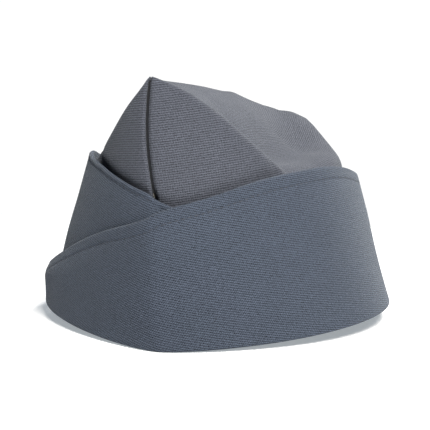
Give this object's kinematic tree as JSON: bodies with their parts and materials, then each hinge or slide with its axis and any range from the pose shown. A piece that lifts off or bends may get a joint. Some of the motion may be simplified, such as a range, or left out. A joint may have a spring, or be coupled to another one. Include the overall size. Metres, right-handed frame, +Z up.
{
  "type": "garrison cap",
  "caption": "Peakless wool garrison side cap with a pointed crown and a turned-up curtain that laps left over right at the front.",
  "frame": {"origin": "centre of the cap's box in X and Y, at the level of the rim's lowest points", "axes": "-Y is the front of the cap, +X the wearer's left, +Z up"},
  "size_m": [0.1838, 0.191, 0.1193],
  "materials": {
    "wool_gabardine": "fine twill, low sheen",
    "interlining_canvas": "open stiffened canvas",
    "lining_satin": "smooth satin",
    "seam_tape": "plain woven tape",
    "sweatband_leather": "smooth, low sheen",
    "sewing_thread": "twisted thread",
    "label_satin": "smooth woven label"
  },
  "bodies": {
    "cap": {"crown_left_panel": "wool_gabardine", "crown_right_panel": "wool_gabardine", "curtain_left_cloth": "wool_gabardine", "curtain_right_cloth": "wool_gabardine", "curtain_left_facing": "wool_gabardine", "curtain_right_facing": "wool_gabardine", "curtain_left_interlining": "interlining_canvas", "curtain_right_interlining": "interlining_canvas", "crown_left_interlining": "interlining_canvas", "crown_right_interlining": "interlining_canvas", "lining_left": "lining_satin", "lining_right": "lining_satin", "front_seam_tape": "seam_tape", "back_seam_tape": "seam_tape", "top_seam_tape": "seam_tape", "rim_seam_tape": "seam_tape", "sweatband": "sweatband_leather", "sweatband_tab": "sweatband_leather", "sweatband_stitching": "sewing_thread", "curtain_left_topstitch": "sewing_thread", "curtain_right_edge_stitch": "sewing_thread", "size_label": "label_satin"},
    "care_label": {"care_label": "label_satin"}
  },
  "joints": [
    {"name": "care_label_hinge", "type": "hinge", "parent": "cap", "child": "care_label", "pos_m": [0.06259, 0.0015, 0.064], "axis": [0, 1, 0], "range_deg": [-12, 120]}
  ]
}
